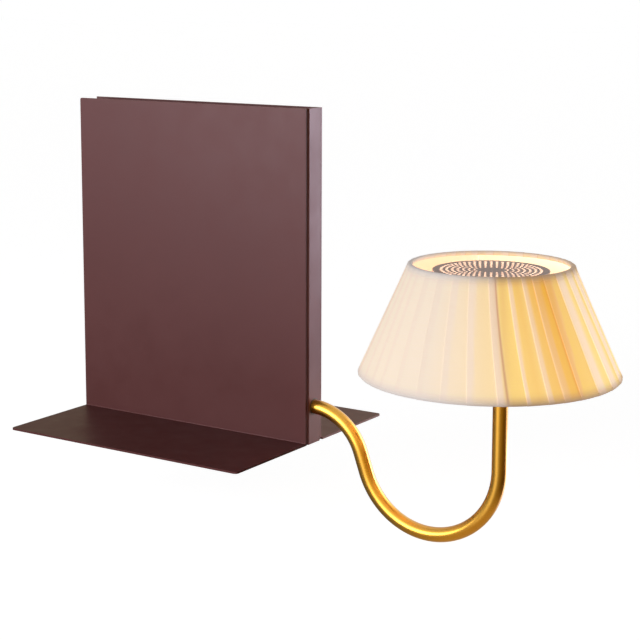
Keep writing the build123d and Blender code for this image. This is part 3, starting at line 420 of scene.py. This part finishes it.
for part in frame["record"]["subparts"]:
    for holder in nodes[part["node"]].material_slots:
        if part["material_slot"] in finish:
            holder.material = finish[part["material_slot"]]
        if part["node"] == "grille_disc":
            holder.material = disc_finish


# Shade's cloth

CLOTH_LOW = 73.4
CLOTH_HIGH = 149.1
CLOTH_ROWS = 31
CLOTH = 0.25            # thickness
SLANT = 1.1             # of the cloth's way up to its height
DRIFT = 0.003           # radians that a fold wanders off its line
DRIFT_WAVE = (5.1, 3.1)         # radians of its wave, by the pleat's tone and by height
SLACK = 0.12            # millimetres that a face gives way between the rims
SLACK_WAVE = (9.7, 4.7, 0.6)    # the same, and where it starts
SLACK_FROM = 0.1        # inset from the edge, from which it does
TONE_WAVE = (7.3, 1.0)          # radians from pleat to pleat, and where it starts
FOLD_OUT = 0.62         # inset of the fold edges
FOLD_IN = 1.15          # and of the roots
NOSE = 0.0008           # radians that a fold bulges past its edge
NOSE_IN = 0.14          # inset of an edge's nose from the edge
ROOT_IN = 0.08          # and of a root's from the root
BACK_OUT = 0.3          # inset from the edge, at which the layer behind it starts
BACK_IN = 0.04          # and from the root, at which it ends
FACE_CURVE = 0.85       # power by which a face sinks from its edge to its root
FACE_STEPS = (0.0, 0.015, 0.04, 0.09, 0.16, 0.25, 0.35, 0.46, 0.58, 0.7, 0.82, 0.92, 1.0)
BACK_STEPS = (0.06, 0.3, 0.6, 0.85)

# The cloth's look, mostly painted light and shade, round the shade: stops of polar angle at the foot, in
# degrees, and value
LOOKS = {
    # Share of a pleat that has the one before it underneath, and how much that spreads upwards
    "overlap": ((150, 0.35), (212, 0.3), (223, 0.2), (233, 0.36), (240, 0.5), (249, 0.42),
                (261, 0.6), (284, 0.6), (312, 0.4)),
    "spread": ((212, 0.35), (233, 0.15), (241, 0.0), (249, 0.7), (257, 0.7), (261, 0.1)),
    # 1 where painted lamp light colours the cloth and 0 where the room's light does, and how bright the
    # painted glow is
    "warm": ((60, 0.6), (100, 0.0), (180, 0.0), (196, 0.25), (206, 0.5), (213, 0.6), (217, 1.0),
             (290, 0.9), (330, 0.7)),
    "lamp": ((60, 0.8), (110, 0.5), (140, 0.51), (180, 0.54), (208, 0.68), (225, 0.78), (247, 0.85),
             (268, 0.9), (290, 0.86)),
    # Depth of the painted lamp colour through one layer, and through two, and painted highlight next to
    # the next fold
    "single": ((200, 0.2), (219, 0.24), (228, 0.48), (238, 0.7), (244, 0.86), (249, 0.96),
               (251, 0.48), (262, 0.38), (267, 0.1), (300, 0.1)),
    "double": ((200, 0.15), (222, 0.3), (234, 0.48), (241, 0.95), (250, 1.0), (258, 0.7),
               (261, 0.15), (268, 0.05), (300, 0.1)),
    "next_fold_highlight": ((200, 0.5), (234, 0.5), (238, 0.0), (330, 0.0)),
    # Painted highlight on a fold, and painted shadow under the next one
    "crease_highlight": ((150, 0.0), (187, 0.15), (211, 0.5), (223, 0.8), (234, 0.7), (240, 0.5), (249, 0.1),
               (261, 0.3), (320, 0.3)),
    "step": ((160, 0.0), (200, 0.05), (234, 0.0), (240, 0.3), (249, 0.5), (260, 0.9), (320, 0.8)),
}
DEEP_UP = (0.84, 0.32)          # of the painted lamp colour's depth: factors at the foot, and what the square of the height adds
LAMP_UP = (1.03, -0.1)
HEM_UP = (0.7, 0.9)             # and what the height adds
LAYER_EDGE = (0.85, 0.3)        # of the overlap: where one layer starts, and the way it takes
NEXT_FOLD_HIGHLIGHT_WAY = 0.06                # radians before the next fold
CREASE_HIGHLIGHT_SHARE = 0.5
CREASE_WIDTH = 0.013            # radians
STEP_SHADOW_WIDTH = 0.01               # radians
STEP_SHADOW_BACK = -0.002              # radians past a fold, that its painted shadow line still shows
RIB_SHADOW = 0.18
RIB_WIDTH = 2.0                 # degrees
HEM_SHADOW = 0.16               # of the doubled cloth before the seam
HEM_WIDTH = 5.0                 # degrees, and of its soft edge, and past the seam
HEM_EDGE = 4.0
HEM_PAST = 0.5
RIM_FADE = 8.0          # millimetres of cloth next to a rim with painted shade
RIM_FULL_SHADE = 0.8          # millimetres of it in full painted shade
TOP_HALF = 0.5          # of the height, over which the top rim counts
RIM_POWERS = (1.45, 0.25)       # at the foot, and what the top adds
TOP_SHADE_LESS = 0.18


def raised(z):
    """0 at the bottom rim and 1 at the top rim."""
    return (z - RIM_BOTTOM) / (RIM_TOP - RIM_BOTTOM)


def cone_radius(z, inset):
    return R_BOTTOM + (R_TOP - R_BOTTOM) * raised(z) - inset


def round_axis(angle, radius, z):
    """Points, in metres, from angles at the foot in radians, and radii and heights in millimetres."""
    turned = angle - math.radians(PLEAT_LEAN) * raised(z)
    x = ARM_X + radius * np.cos(turned)
    y = AXIS_Y + radius * np.sin(turned)
    return np.stack([x, y, np.broadcast_to(z, x.shape)], -1) * MM


def cloth_mesh(name, points, loop, facts):
    """Mesh of rows of points. Each row closes on itself, and so do the columns where loop is set."""
    rows, columns = points.shape[:2]
    here = np.arange(rows * columns).reshape(rows, columns)
    above = np.roll(here, -1, 0)
    if not loop:
        here, above = here[:-1], above[:-1]
    quads = np.stack([here, np.roll(here, -1, 1), np.roll(above, -1, 1), above], -1)
    mesh = bpy.data.meshes.new(name)
    mesh.from_pydata(points.reshape(-1, 3).tolist(), [], quads.reshape(-1, 4).tolist())
    mesh.shade_smooth()
    for fact, values in facts.items():
        kind, field = ("FLOAT_VECTOR", "vector") if values.ndim == 3 else ("FLOAT", "value")
        stored = mesh.attributes.new(fact, kind, "POINT").data
        stored.foreach_set(field, values.astype(np.float32).ravel())
    piece = bpy.data.objects.new(name, mesh)
    bpy.context.scene.collection.objects.link(piece)
    return piece


def pleat_edges():
    """Polar angles of the fold edges, in radians, as in the part."""
    widths = [
        1 + sum(share * math.sin(step * pleat + phase) for share, step, phase in PLEAT_SWELLS)
        for pleat in range(PLEATS)
    ]
    turns = np.concatenate([[0.0], np.cumsum(widths)]) / sum(widths) * 2 * math.pi
    return turns + math.radians(PLEAT_START)


def by_foot(degrees, look):
    """A look's value at a polar angle at the foot, eased between its stops."""
    places, levels = zip(*LOOKS[look])
    return np.interp(degrees % 360, places, levels, period=360)


def cloth_facts(angle, z, past, ahead, under, tone):
    """What the material must know: angles at the foot in radians, heights in millimetres."""
    foot = np.degrees(angle)
    up = raised(z)
    top = up > TOP_HALF
    reach = under * (1 + by_foot(foot, "spread") * (2 * up - 1))
    clear, way = LAYER_EDGE
    # Painted lamp colour: deeper through one layer than through two
    glow = np.clip((past / np.maximum(reach, 0.001) - clear) / way, 0, 1) * (ahead > 0)
    # Painted highlight: paler colour on the single layer just before the next fold
    next_fold_highlight = np.clip(1 - ahead / NEXT_FOLD_HIGHLIGHT_WAY, 0, 1) * by_foot(foot, "next_fold_highlight")
    deep = glow * by_foot(foot, "single") * (1 - next_fold_highlight) + (1 - glow) * by_foot(foot, "double")
    deep = np.clip(deep * (DEEP_UP[0] + DEEP_UP[1] * up ** 2), 0, 1)
    # Painted highlight along each fold edge
    crease_highlight = CREASE_HIGHLIGHT_SHARE * np.exp(-(past / CREASE_WIDTH) ** 2) * by_foot(foot, "crease_highlight")
    # Painted shadow just before the next fold
    step = np.exp(-(np.maximum(ahead, 0) / STEP_SHADOW_WIDTH) ** 2) * (ahead > STEP_SHADOW_BACK)
    step = step * by_foot(foot, "step")
    real = foot - PLEAT_LEAN * up
    gaps = [np.abs((real - rib + 180) % 360 - 180) for rib in RIB_ANGLES]
    ribs = RIB_SHADOW * np.exp(-(np.min(gaps, 0) / RIB_WIDTH) ** 2)
    hem = np.clip((foot - SEAM + HEM_WIDTH) / HEM_EDGE, 0, 1) * (foot < SEAM + HEM_PAST)
    shadow = np.maximum(ribs, HEM_SHADOW * hem * (HEM_UP[0] + HEM_UP[1] * up))
    # Painted shade next to the rims, a little less at the top
    rim = np.minimum(z - RIM_BOTTOM, RIM_TOP - z)
    rim = np.clip((RIM_FADE - rim) / (RIM_FADE - RIM_FULL_SHADE), 0, 1)
    rim = rim ** (RIM_POWERS[0] + RIM_POWERS[1] * top) * (1 - TOP_SHADE_LESS * top)
    # Painted glow of the lamp through the cloth
    lamp = by_foot(foot, "lamp") * (LAMP_UP[0] + LAMP_UP[1] * up ** 2)
    facts = {"warm": by_foot(foot, "warm"), "glow": glow, "deep": deep, "crease_highlight": crease_highlight,
             "step": step, "tone": tone, "shadow": shadow, "rim": rim, "lamp": lamp, "foot": foot}
    full = np.ones(np.broadcast(angle, z).shape)
    return {name: value * full for name, value in facts.items()}


def pleat_widths():
    """Each pleat's edge, width, overlap with the pleats before and after it, and tone."""
    edges = pleat_edges()
    width = np.diff(edges)
    overlap = by_foot(np.degrees(edges[:-1]), "overlap")
    under = overlap * np.minimum(width, np.roll(width, 1))
    tone = 0.5 + 0.5 * np.sin(TONE_WAVE[0] * np.arange(PLEATS) + TONE_WAVE[1])
    return np.stack([edges[:-1], width, under, np.roll(under, -1), tone], 1)


def pleat_section():
    """The cloth's path round the shade: angle, inset, angles past and before a fold, and the rest."""
    path = []
    for begin, width, under, tuck, tone in pleat_widths():
        end = begin + width
        path.append((begin - NOSE, FOLD_OUT + NOSE_IN, 0.0, width, under, tone))
        for step in FACE_STEPS:
            angle = begin + step * (width + tuck)
            inset = FOLD_OUT + (FOLD_IN - FOLD_OUT) * step ** FACE_CURVE
            path.append((angle, inset, angle - begin, end - angle, under, tone))
        path.append((end + tuck + NOSE, FOLD_IN + ROOT_IN, width, -tuck, under, tone))
        for step in BACK_STEPS:
            angle = end + tuck * (1 - step)
            inset = FOLD_IN + BACK_IN + (FOLD_OUT + BACK_OUT - FOLD_IN) * step
            path.append((angle, inset, width, -tuck, under, tone))
    return np.array(path).T


def way_along(row):
    """Distance along a closed row of points, starting at nothing."""
    return np.concatenate([[0.0], np.cumsum(np.linalg.norm(np.diff(row, axis=0), axis=1))])


def pleated_cloth():
    angle, inset, past, ahead, under, tone = pleat_section()
    z = np.linspace(CLOTH_LOW, CLOTH_HIGH, CLOTH_ROWS)[:, None]
    up = raised(z)
    belly = np.sin(math.pi * np.clip(up, 0, 1))
    drift = DRIFT * belly * np.sin(DRIFT_WAVE[0] * tone + DRIFT_WAVE[1] * up)
    by_tone, by_height, phase = SLACK_WAVE
    slack = SLACK * belly * np.sin(by_tone * tone + by_height * up + phase)
    slack = slack * (inset > FOLD_OUT + SLACK_FROM)
    points = round_axis(angle + drift, cone_radius(z, inset + slack), z)
    facts = cloth_facts(angle, z, past, ahead, under, tone)
    full = np.ones_like(points[..., 0])
    facts["threads"] = np.stack([way_along(points[0]) * full, z * MM * SLANT * full, 0 * full], -1)
    piece = cloth_mesh("pleated_cloth", points, False, facts)
    body = piece.modifiers.new("thickness", "SOLIDIFY")
    body.thickness = CLOTH * MM
    body.offset = 0
    piece.data.materials.append(cotton)
    return piece


# The tape's own sawtooth over the pleats
SAW_STEPS = (0.0, 0.03, 0.08, 0.16, 0.27, 0.4, 0.55, 0.7, 0.82, 0.91, 0.97, 1.0)
SAW_WALL = 0.003        # radians over which a fold stands up
SAW_DEEP = 0.5          # millimetres
SAW_GONE = 0.375        # of the tape's way round from its inner leg, where the sawtooth begins
TAPE_IN = 0.32          # inset of the tape over the fold edges
OUTER_STEPS = 6         # of the roll at the tape's outer corner
INNER_STEPS = 4
INNER_ROLL = 1.2


def bend(corner, first, second, radius, steps):
    """Points of the arc that rounds a corner between two directions, with their outward normals."""
    half = math.acos(first.dot(second)) / 2
    centre = corner + (first + second).normalized() * radius / math.sin(half)
    begin = corner + first * radius / math.tan(half) - centre
    close = corner + second * radius / math.tan(half) - centre
    turn = begin.angle_signed(close)
    arc = []
    for step in range(steps + 1):
        spoke = begin.copy()
        spoke.rotate(Matrix.Rotation(-turn * step / steps, 2))
        arc.append((centre + spoke, spoke.normalized()))
    return arc


def tape_section(rim, inward):
    """Outer line of the folded tape, from its outer leg to its inner one: points and normals."""
    slope = (R_TOP - R_BOTTOM) / (RIM_TOP - RIM_BOTTOM)
    wall = Vector((slope, 1.0)).normalized() * inward
    flat = Vector((-1.0, 0.0))
    outer = Vector((cone_radius(rim, 0), rim))
    inner = Vector((cone_radius(rim, TRIM_IN + TRIM), rim))
    out = Vector((wall.y, -wall.x)) * inward
    leg = TRIM_H / abs(wall.y)
    line = [(outer + wall * leg, out)]
    line += bend(outer, wall, flat, TRIM_ROLL, OUTER_STEPS)
    line += bend(inner, -flat, wall, INNER_ROLL, INNER_STEPS)
    line.append((inner + wall * leg, -out))
    return line


def tape_round(name, rim, inward):
    """Tape folded over a rim and pressed on the pleats; inward is -1 at the top rim."""
    columns = []
    for begin, width, under, _, tone in pleat_widths():
        for step in SAW_STEPS:
            past = step * (width - SAW_WALL)
            columns.append((begin + past, past, width - past, step ** FACE_CURVE, under, tone))
    angle, past, ahead, saw, under, tone = np.array(columns).T
    line = tape_section(rim, inward)
    shares = np.linspace(1.0, 0.0, len(line))
    outside = [(*spot, share, TAPE_IN) for spot, share in zip(line, shares)]
    inside = [(*spot, share, TAPE_IN + TRIM) for spot, share in zip(line, shares)]
    rows = []
    for spot, normal, share, inset in outside + inside[::-1]:
        sunk = inset + SAW_DEEP * saw * max(0.0, (share - SAW_GONE) / (1 - SAW_GONE))
        rows.append((spot.x - normal.x * sunk, spot.y - normal.y * sunk))
    radius, z = np.array(rows).swapaxes(0, 1)
    points = round_axis(angle, radius, z)
    facts = cloth_facts(angle, z, past, ahead, under, tone)
    full = np.ones_like(radius)
    facts["threads"] = np.stack([angle * R_BOTTOM * MM * full, way_along(points[:, 0])[:, None] * full,
                                 0 * full], -1)
    piece = cloth_mesh(name, points, True, facts)
    piece.data.materials.append(tape)
    return piece


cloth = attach(pleated_cloth(), "shade")
top_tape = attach(tape_round("top_tape", RIM_TOP, -1), "shade")
bottom_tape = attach(tape_round("bottom_tape", RIM_BOTTOM, 1), "shade")
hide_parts("shade_fabric")
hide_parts("top_trim")
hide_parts("bottom_trim")


# Room


def by_ray(tree, white, metal_view, other):
    """One shader for what is seen directly or through glass, one for mirrors, one for light."""
    path = put(tree, "LightPath", {}).outputs
    seen = math_of(tree, "MAXIMUM", path["Is Camera Ray"], path["Is Transmission Ray"])
    first = put(tree, "MixShader", {0: path["Is Glossy Ray"], 1: other, 2: metal_view}).outputs[0]
    return put(tree, "MixShader", {0: seen, 1: first, 2: white}).outputs[0]


# The room in a mirror, by the way it lies: degrees from -Y towards +X, brightness and colour
PLAIN = (1.0, 1.0, 1.0)
WARM = (1.0, 0.78, 0.22)
BROWN = (1.0, 0.6, 0.12)
TAN = (1.0, 0.76, 0.5)
LILAC = (0.95, 0.88, 1.0)
ROOM_VIEW = (
    (-180, 0.4, PLAIN), (-165, 0.55, PLAIN), (-146, 0.6, PLAIN), (-135, 0.7, PLAIN),
    (-125, 1.1, LILAC), (-114, 3.0, PLAIN), (-92, 3.2, PLAIN), (-76, 1.3, PLAIN),
    (-57, 0.8, WARM), (-10, 0.3, BROWN), (38, 0.28, BROWN), (46, 1.4, LILAC),
    (51, 9.0, LILAC), (66, 9.0, LILAC), (74, 2.0, PLAIN), (84, 1.2, PLAIN),
    (105, 1.0, PLAIN), (120, 0.6, TAN), (160, 0.4, TAN),
)
VIEW_TOP = 9.0          # the brightest of them
CEILING = (0.8, 0.8, 0.8)
CEILING_FROM = (0.25, 0.8)      # rise of the way, from all room to all ceiling

# The room's own light on the part, level and from high up
FILL = 0.72
FILL_ABOVE = 0.05
FILL_RISE = 0.4

# The floor, in metres: what it looks like, and what it shows in a mirror, with painted shade near and
# under the part and a painted pool of lamp light
FLOOR_Z = -0.057
FLOOR_SIZE = 30
FLOOR_GLOW = 1.36
FLOOR_GLOW_SHARE = 0.7
NEAR_SHARE = 0.25       # painted shade: of the far floor's level, near the part
NEAR_FAR = (0.4, 2.0)
BELOW = (0.0, -0.25, 0.0)       # under the tube
BELOW_SHARE = 0.32              # painted shade: of the far floor's level, right there
BELOW_NEAR = (0.1, 0.45)
# Warm brown painted on the floor right under the tube, seen only in mirrors
UNDER_TUBE = (0.5, 0.38, 0.2)
UNDER_NEAR = (0.03, 0.09)
POOL = (0.24, -0.25, 0.0)       # where a pool of lamp light is painted on the floor
POOL_LIGHT = (4.0, 3.2, 2.8)
POOL_NEAR = (0.03, 0.15)

world = bpy.data.worlds.new("studio")
bpy.context.scene.world = world
world.use_nodes = True
sky = world.node_tree
sky.nodes.clear()


def room_ramp(tree, place):
    """The room's colour and brightness towards a place, in a mirror, and how high it lies."""
    parts = put(tree, "SeparateXYZ", {0: place}).outputs
    bearing = math_of(tree, "ARCTAN2", parts["X"], math_of(tree, "MULTIPLY", parts["Y"], -1.0))
    ramp = put(tree, "ValToRGB", {"Fac": span(tree, bearing, -math.pi, math.pi)})
    stops = ramp.color_ramp.elements
    while len(stops) < len(ROOM_VIEW):
        stops.new(0.5)
    for stop, (degrees, level, tint) in zip(stops, ROOM_VIEW):
        stop.position = (degrees + 180) / 360
        stop.color = (*[level / VIEW_TOP * part for part in tint], 1)
    return scaled(tree, ramp.outputs["Color"], VIEW_TOP), parts["Z"]


view, rise = room_ramp(sky, put(sky, "TexCoord", {}).outputs["Generated"])
room = mixed(sky, span(sky, rise, *CEILING_FROM), view, CEILING)
from_above = span(sky, rise, 0.0, FILL_RISE, FILL, FILL_ABOVE)
white = put(sky, "Background", {"Color": (1, 1, 1, 1), "Strength": 1.0}).outputs[0]
mirror = put(sky, "Background", {"Color": room, "Strength": 1.0}).outputs[0]
fill = put(sky, "Background", {"Color": (1, 1, 1, 1), "Strength": from_above}).outputs[0]
put(sky, "OutputWorld", {"Surface": by_ray(sky, white, mirror, fill)})

bpy.ops.mesh.primitive_plane_add(size=FLOOR_SIZE, location=(0, 0, FLOOR_Z))
floor = bpy.context.object
floor.name = "floor"
pale_floor = bpy.data.materials.new("pale_floor")
pale_floor.use_nodes = True
ground = pale_floor.node_tree
matt = ground.nodes["Principled BSDF"]
matt.inputs["Base Color"].default_value = (0.9, 0.9, 0.9, 1)
matt.inputs["Roughness"].default_value = 0.9
glow = put(ground, "Emission", {"Color": (1, 1, 1, 1), "Strength": FLOOR_GLOW}).outputs[0]
seen_floor = put(ground, "MixShader", {0: FLOOR_GLOW_SHARE, 1: matt.outputs[0], 2: glow}).outputs[0]
spot = put(ground, "TexCoord", {}).outputs["Object"]
away = put(ground, "VectorMath", {0: spot}, operation="LENGTH").outputs["Value"]
from_below = put(ground, "VectorMath", {0: spot, 1: BELOW}, operation="SUBTRACT").outputs["Vector"]
off_below = put(ground, "VectorMath", {0: from_below}, operation="LENGTH").outputs["Value"]
from_pool = put(ground, "VectorMath", {0: spot, 1: POOL}, operation="DISTANCE").outputs["Value"]
# What mirrors see on the floor: the room, painted shade near and under the part, and a painted pool of
# lamp light
near_share = span(ground, off_below, *BELOW_NEAR, BELOW_SHARE, NEAR_SHARE)
share = put(ground, "Mix", {0: span(ground, away, *NEAR_FAR), 2: near_share, 3: 1.0}).outputs[0]
floor_view = scaled(ground, room_ramp(ground, from_below)[0], share)
floor_view = mixed(ground, span(ground, off_below, *UNDER_NEAR), UNDER_TUBE, floor_view)
floor_view = mixed(ground, span(ground, from_pool, *POOL_NEAR, 1.0, 0.0), floor_view, POOL_LIGHT)
mirror_floor = put(ground, "Emission", {"Color": floor_view, "Strength": 1.0}).outputs[0]
ground.links.new(by_ray(ground, seen_floor, mirror_floor, matt.outputs[0]),
                 ground.nodes["Material Output"].inputs["Surface"])
floor.data.materials.append(pale_floor)


# The only lamp, to the left of the body
KEY_PLACE = Vector((-1.4, 0.55, 0.45))
KEY_AIM = Vector((0, -0.1, 0.1))
key = bpy.data.lights.new("left_key", "AREA")
key.shape = "RECTANGLE"
key.size, key.size_y = 1.0, 0.8
key.energy = 12
lamp = bpy.data.objects.new("left_key", key)
lamp.location = KEY_PLACE
lamp.rotation_mode = "QUATERNION"
lamp.rotation_quaternion = (KEY_AIM - KEY_PLACE).to_track_quat("-Z", "Y")
bpy.context.scene.collection.objects.link(lamp)


# Camera, on the photograph's own view of the part
AZIMUTH = math.radians(-56.793)
ELEVATION = math.radians(8.970)
ROLL = math.radians(0.157)
FRAME = 640             # pixels across and up
FOCAL = 1650.2          # pixels
LIFT = 70.0             # pixels that the lens's centre lies above the frame's
SENSOR = 36.0
EYE = (-0.99791, -0.76565, 0.33577)
eye = bpy.data.cameras.new("camera")
eye.sensor_width = SENSOR
eye.lens = SENSOR * FOCAL / FRAME
eye.shift_y = -LIFT / FRAME
camera = bpy.data.objects.new("camera", eye)
back = Vector((math.sin(AZIMUTH) * math.cos(ELEVATION),
               -math.cos(AZIMUTH) * math.cos(ELEVATION), math.sin(ELEVATION)))
level_right = Vector((0, 0, 1)).cross(back).normalized()
level_up = back.cross(level_right)
right = level_right * math.cos(ROLL) + level_up * math.sin(ROLL)
up = level_up * math.cos(ROLL) - level_right * math.sin(ROLL)
camera.matrix_world = (Matrix.Translation(EYE)
                       @ Matrix((right, up, back)).transposed().to_4x4())
bpy.context.scene.collection.objects.link(camera)
bpy.context.scene.camera = camera
bpy.context.scene.view_settings.view_transform = "Standard"
